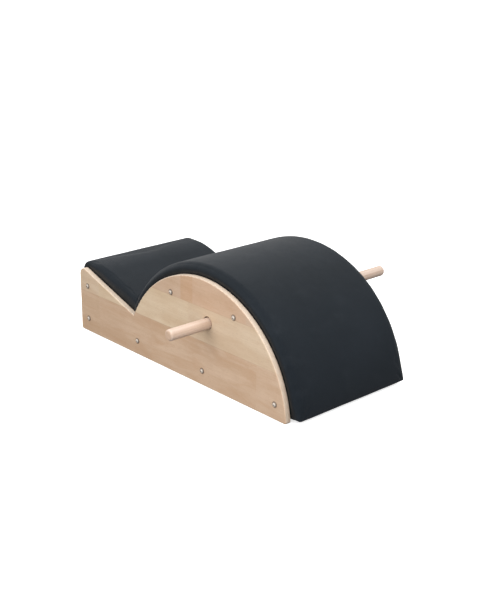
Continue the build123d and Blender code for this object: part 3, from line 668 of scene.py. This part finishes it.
def swell(pad):
    """Cloth under a light pressure gives the vinyl its tension over the foam.

    Only the movement square to the surface is kept, within the pad's rise and SINK_CAP.
    """
    free = pad.on_skin & (pad.v > 0.1)
    keep = free[pad.faces].all(axis=1)
    used, flat = np.unique(pad.faces[keep], return_inverse=True)
    faces = flat.reshape(-1, 4)
    cloth = mesh_object("swelling", pad.points[used], faces)
    group = cloth.vertex_groups.new(name="pin")
    held = np.clip((HELD_BELOW - pad.v[used]) / HELD_FADE, 0, 1)
    for index in np.nonzero(held > 0)[0]:
        group.add([int(index)], float(held[index]), "REPLACE")
    modifier = cloth.modifiers.new("cloth", "CLOTH")
    settings = modifier.settings
    settings.quality = 4
    settings.mass = 0.3
    settings.tension_stiffness = 22
    settings.compression_stiffness = 22
    settings.shear_stiffness = 9
    settings.bending_stiffness = 1.2
    settings.use_pressure = True
    settings.uniform_pressure_force = PRESSURE
    settings.vertex_group_mass = "pin"
    settings.effector_weights.gravity = 0.0
    modifier.point_cache.frame_start = 1
    modifier.point_cache.frame_end = CLOTH_FRAMES
    for step in range(1, CLOTH_FRAMES + 1):
        bpy.context.scene.frame_set(step)
    solved = cloth.evaluated_get(bpy.context.evaluated_depsgraph_get())
    after = np.zeros(len(used) * 3)
    solved.data.vertices.foreach_get("co", after)
    normal = vertex_normals(pad.points, pad.faces)[used]
    outward = ((after.reshape(-1, 3) - pad.points[used]) * normal).sum(axis=1)
    risen = pad.rise * np.tanh(np.maximum(outward, 0.0) / pad.rise)
    pad.points[used] += normal * (risen + np.clip(outward, -SINK_CAP, 0.0))[:, None]
    mesh = cloth.data
    bpy.data.objects.remove(cloth)
    bpy.data.meshes.remove(mesh)
    bpy.context.scene.frame_set(1)


def dress(pad):
    """Small moves: unevenness, the pull of each staple, and tucks at the two corners of the pad's start."""
    normal = vertex_normals(pad.points, pad.faces)
    depth = np.zeros(len(pad.points))
    edge = HALF_PAD - abs(pad.y)
    for k in np.nonzero(pad.on_skin & (pad.v > 0.05))[0]:
        a, y, v = pad.a[k], pad.y[k], pad.v[k]
        place = Vector((a * 9.0, y * 11.0, v * 0.6 + pad.seed))
        depth[k] += 0.00050 * noise.noise(place) + 0.00022 * noise.noise(place * 3.1)
        pull = np.exp(-edge[k] / 0.022) * max(0.0, 1.0 - v * 0.25)
        drift = 6 * noise.noise(Vector((a * 5, y * 9, 3.0)))
        depth[k] -= STAPLE_PULL * pull * (0.5 + 0.5 * cos(2 * pi * a / STAPLE_PITCH + drift))
        reach = hypot(a, edge[k] * 0.9)
        if reach < TUCK_REACH:
            turn = np.arctan2(edge[k] * 0.9 + 1e-6, a + 1e-6)
            fade = np.exp(-((reach / TUCK_FADE) ** 2)) * min(1.0, reach / 0.006)
            shift = pad.seed + (1.7 if y > 0 else 0.0)
            depth[k] -= TUCK_DEPTH * fade * (0.5 + 0.5 * cos(9.0 * turn + shift)) ** 2
    pad.points += normal * depth[:, None]


def meet_barrel(pad):
    """The step's front end is pressed against the barrel and follows its rolled edges."""
    x, y, z = pad.points.T
    inside = np.clip((NOTCH_ROLL - (HALF_PAD - abs(y))) / NOTCH_ROLL, 0, 1)
    dip = NOTCH_ROLL * (1 - (1 - inside**ROLL_POWER) ** (1 / ROLL_POWER))
    near_end = np.clip(1 - (pad.length - pad.a) / NOTCH_REACH, 0, 1) ** 2
    inwards = np.stack([ARC_X - x, 0 * y, ARC_Z - z], axis=1)
    inwards /= np.linalg.norm(inwards, axis=1)[:, None]
    pad.points += inwards * (dip * near_end * np.clip(pad.v / 0.3, 0, 1))[:, None]


def finish_pad(pad, replaced):
    """The pad as a closed mesh with its hem kept crisp, subdivided once."""
    piece = mesh_object(pad.name, pad.points, pad.faces)
    piece.data.materials.append(materials["vinyl"])
    fold = bmesh.new()
    fold.from_mesh(piece.data)
    fold.edges.ensure_lookup_table()
    crease = fold.edges.layers.float.new("crease_edge")
    low = pad.v < HEM_V
    for edge in fold.edges:
        one, other = (vertex.index for vertex in edge.verts)
        if low[one] and low[other] and edge.calc_face_angle(0.0) > radians(40):
            edge[crease] = 1.0
    fold.to_mesh(piece.data)
    fold.free()
    bpy.context.view_layer.objects.active = piece
    piece.select_set(True)
    subdivision = piece.modifiers.new("subdivision", "SUBSURF")
    subdivision.levels = 1
    subdivision.render_levels = 1
    bpy.ops.object.modifier_apply(modifier=subdivision.name)
    piece.select_set(False)
    piece.data.shade_smooth()
    piece.data.set_sharp_from_angle(angle=radians(50))
    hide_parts(*replaced)
    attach(piece, "frame")


def angle_at(radius, z):
    """Where a circle about the barrel's axis is at a height, on the side of the barrel's foot."""
    return np.arctan2(z - ARC_Z, sqrt(radius**2 - (z - ARC_Z) ** 2))


def arc_line(radius):
    """Points of an arc about the barrel's axis, from its foot over the top to the notch."""
    start = angle_at(radius, FOOT_GAP - HEM_DROP)
    end = pi - angle_at(radius, FOAM_END_Z)
    turn = start + (end - start) * np.linspace(0.0, 1.0, LINE_POINTS)
    return np.stack([ARC_X + radius * np.cos(turn), ARC_Z + radius * np.sin(turn)], axis=1)


def reach_barrel(x, offset):
    """Where a line parallel to the slope, followed down from x, comes to the barrel's pad."""
    while hypot(x - ARC_X, slope_z(x, offset) - ARC_Z) > MEET_R:
        x += MARCH
    return np.array([x, slope_z(x, offset)])


def step_outline():
    """The step pad's outer line: up its back, round the corner, over the crown and down to the notch."""
    back = step_low.x - BACK_LIFT + START_LOW
    top = step_high.z + CROWN_LIFT - START_LOW
    proud = PAD_PROUD + SLOPE_LIFT - START_LOW
    crown_x = PANEL_REAR_X + (slope_z(PANEL_REAR_X, proud) - top) / tan(SLOPE)
    corner_x = back + STEP_CORNER_R
    corner_z = top - STEP_CORNER_R
    points = [(back, FOOT_GAP), (back, corner_z)]
    for turn in np.linspace(pi, pi / 2, 16)[1:]:
        points.append((corner_x + STEP_CORNER_R * cos(turn), corner_z + STEP_CORNER_R * sin(turn)))
    tangent = CROWN_R * tan(SLOPE / 2)
    for turn in np.linspace(0, SLOPE, 24):
        points.append((crown_x - tangent + CROWN_R * sin(turn), top - CROWN_R * (1 - cos(turn))))
    points.append(reach_barrel(points[-1][0], proud))
    points = np.array(points)
    at = np.concatenate([[0.0], np.cumsum(np.hypot(*np.diff(points, axis=0).T))])
    spread = np.linspace(0, at[-1], STEP_LINE_POINTS)
    return np.stack([np.interp(spread, at, points[:, k]) for k in (0, 1)], axis=1)


def step_lines():
    """The step pad's outer line, with its partners on the outside and inside of the rear board and deck."""
    outer = step_outline()
    along = np.array([cos(SLOPE), -sin(SLOPE)])
    under_off = STEP_DECK_TOP - DECK_T - SKIN_T
    board_in = board_high.x + SKIN_T
    corner = np.array([board_low.x, slope_z(board_low.x, STEP_DECK_TOP)])
    under_corner = np.array([board_in, slope_z(board_in, under_off)])
    deck_stop = (reach_barrel(DECK_MARCH_X, STEP_DECK_TOP) - corner) @ along
    under_stop = (reach_barrel(DECK_MARCH_X, under_off) - under_corner) @ along
    offset = (corner - under_corner) @ along
    outer_reach = np.array([(p - corner) @ along for p in outer])
    last = outer_reach[-1]
    inner, under = [], []
    for p, reach in zip(outer, outer_reach):
        if reach <= 0 or (p[0] < corner[0] and p[1] < corner[1]):
            inner.append((corner[0], min(p[1], corner[1])))
            under.append((under_corner[0], min(p[1], under_corner[1])))
            continue
        # the partners lean towards the notch, so that all three lines end on the barrel's pad
        lean = (reach / last) ** 3
        inner.append(corner + along * (reach + (deck_stop - last) * lean))
        run_under = max(0.0, reach + offset + (under_stop - last - offset) * lean)
        under.append(under_corner + along * run_under)
    return outer, np.array(inner), np.array(under)


deck_out_r = PAD_R - SKIN_T - FOAM_T
barrel = Pad(
    "barrel_pad",
    arc_line(PAD_R - START_LOW),
    arc_line(deck_out_r),
    arc_line(deck_out_r - DECK_T - SKIN_T),
    open_end=True,
    start_r=0.004,
    end_r=0.003,
    side_r=([0.0, 0.05, 0.84, 0.96], [0.008, 0.021, 0.021, 0.015]),
    rise=BARREL_RISE,
    seed=2.3,
)
back_height = step_high.z - STEP_CORNER_R - FOOT_GAP
step_runs = [0.0, back_height - 0.03, back_height + 0.03, back_height + 0.08, 0.34, 0.42]
step = Pad(
    "step_pad",
    *step_lines(),
    open_end=False,
    start_r=0.008,
    end_r=0.002,
    side_r=(step_runs, [0.006, 0.006, 0.012, 0.015, 0.015, 0.009]),
    rise=STEP_RISE,
    seed=7.9,
)

for pad, replaced in ((barrel, ("barrel_cover", "barrel_foam")), (step, ("step_cover", "step_foam"))):
    swell(pad)
    dress(pad)
    if pad is step:
        meet_barrel(pad)
    finish_pad(pad, replaced)

# ---------------------------------------------------------------- floor, light and camera
FLOOR_HALF = 60.0
DOME_R = 55.0
PAPER_DARK = (0.86, 0.86, 0.86, 1.0)
PAPER_LIGHT = (0.88, 0.88, 0.88, 1.0)
WHITE = (1.0, 1.0, 1.0, 1.0)
GLOW = (-0.62, 0.25, 0.74)  # the studio is brightest this way
GLOW_RANGE = (-0.45, 0.85, 0.14, 0.46)  # how squarely a direction faces the glow, from and to, and its light
CAMERA_AT = (2.24017, -2.00274, 1.23938)
CAMERA_TURN = (70.22165, -0.47059, 47.97098)  # degrees about X, Y and Z


def paper(name, scale, detail, roughness, glow):
    """White paper that glows, so that it stays white in every view."""
    g = Graph(name)
    patch = g.noise(g.place()[0], scale, detail)
    g.put(g.shader.inputs["Base Color"], g.mix(patch, PAPER_DARK, PAPER_LIGHT))
    g.shader.inputs["Roughness"].default_value = roughness
    g.shader.inputs["Emission Color"].default_value = WHITE
    g.shader.inputs["Emission Strength"].default_value = glow
    return g.material


def put_light(name, light, at, towards):
    """Stand a light at a place, shining along a direction."""
    lamp = bpy.data.objects.new(name, light)
    lamp.location = at
    lamp.rotation_euler = Vector(towards).to_track_quat("-Z", "Y").to_euler()
    bpy.context.scene.collection.objects.link(lamp)
    return lamp


def far_light(name, strength, angle, towards):
    """A wide soft light from far away."""
    light = bpy.data.lights.new(name, "SUN")
    light.energy = strength
    light.angle = radians(angle)
    return put_light(name, light, (0.0, 0.0, 0.0), towards)


def near_light(name, power, size, at, towards):
    """A square soft box that shows in no reflection."""
    light = bpy.data.lights.new(name, "AREA")
    light.energy = power
    light.size = size
    lamp = put_light(name, light, at, towards)
    lamp.visible_glossy = False


floor_corners = [(FLOOR_HALF * x, FLOOR_HALF * y, 0) for x, y in ((-1, -1), (1, -1), (1, 1), (-1, 1))]
floor = mesh_object("floor", floor_corners, [(0, 1, 2, 3)])
floor.data.materials.append(paper("floor", 0.7, 2.0, 0.9, 0.70))
floor.visible_glossy = False
floor.visible_diffuse = False

# a pale dome stands behind everything above the floor's far edge; it neither lights nor shades the object
shell = bmesh.new()
bmesh.ops.create_uvsphere(shell, u_segments=48, v_segments=24, radius=DOME_R)
dome_mesh = bpy.data.meshes.new("backdrop")
shell.to_mesh(dome_mesh)
shell.free()
dome = bpy.data.objects.new("backdrop", dome_mesh)
bpy.context.scene.collection.objects.link(dome)
dome_mesh.materials.append(paper("backdrop", 0.05, 1.0, 0.5, 1.0))
dome.visible_glossy = False
dome.visible_diffuse = False
dome.visible_transmission = False
dome.visible_shadow = False

# the world is a white studio that is brighter towards the glow
world = bpy.data.worlds.new("studio")
bpy.context.scene.world = world
world.use_nodes = True
tree = world.node_tree
background = tree.nodes["Background"]
background.inputs["Color"].default_value = WHITE
direction = tree.nodes.new("ShaderNodeTexCoord")
towards_glow = tree.nodes.new("ShaderNodeVectorMath")
towards_glow.operation = "DOT_PRODUCT"
towards_glow.inputs[1].default_value = GLOW
tree.links.new(direction.outputs["Generated"], towards_glow.inputs[0])
lift = tree.nodes.new("ShaderNodeMapRange")
for index, value in enumerate(GLOW_RANGE):
    lift.inputs[index + 1].default_value = value
tree.links.new(towards_glow.outputs["Value"], lift.inputs[0])
tree.links.new(lift.outputs[0], background.inputs["Strength"])

key = far_light("key", 2.25, 120, (0.15, -0.10, -1.0))
key.visible_glossy = False
far_light("glint", 0.30, 24, (0.15, 0.91, -0.39))
near_light("fill", 55.0, 2.8, (0.8, -2.6, 0.8), (-0.25, 1.0, -0.22))
near_light("side_fill", 30.0, 1.6, (2.3, 0.1, 1.7), (-1.0, -0.05, -0.66))

camera_data = bpy.data.cameras.new("camera")
camera_data.sensor_width = 36.0
camera_data.lens = 65.40
camera_data.shift_x = 0.0004
camera_data.shift_y = 0.0028
camera_data.clip_end = 200.0
camera = bpy.data.objects.new("camera", camera_data)
camera_turn = Euler([radians(angle) for angle in CAMERA_TURN])
camera.matrix_world = Matrix.LocRotScale(Vector(CAMERA_AT), camera_turn, None)
bpy.context.scene.collection.objects.link(camera)
bpy.context.scene.camera = camera

view_settings = bpy.context.scene.view_settings
view_settings.view_transform = "Standard"
view_settings.look = "None"
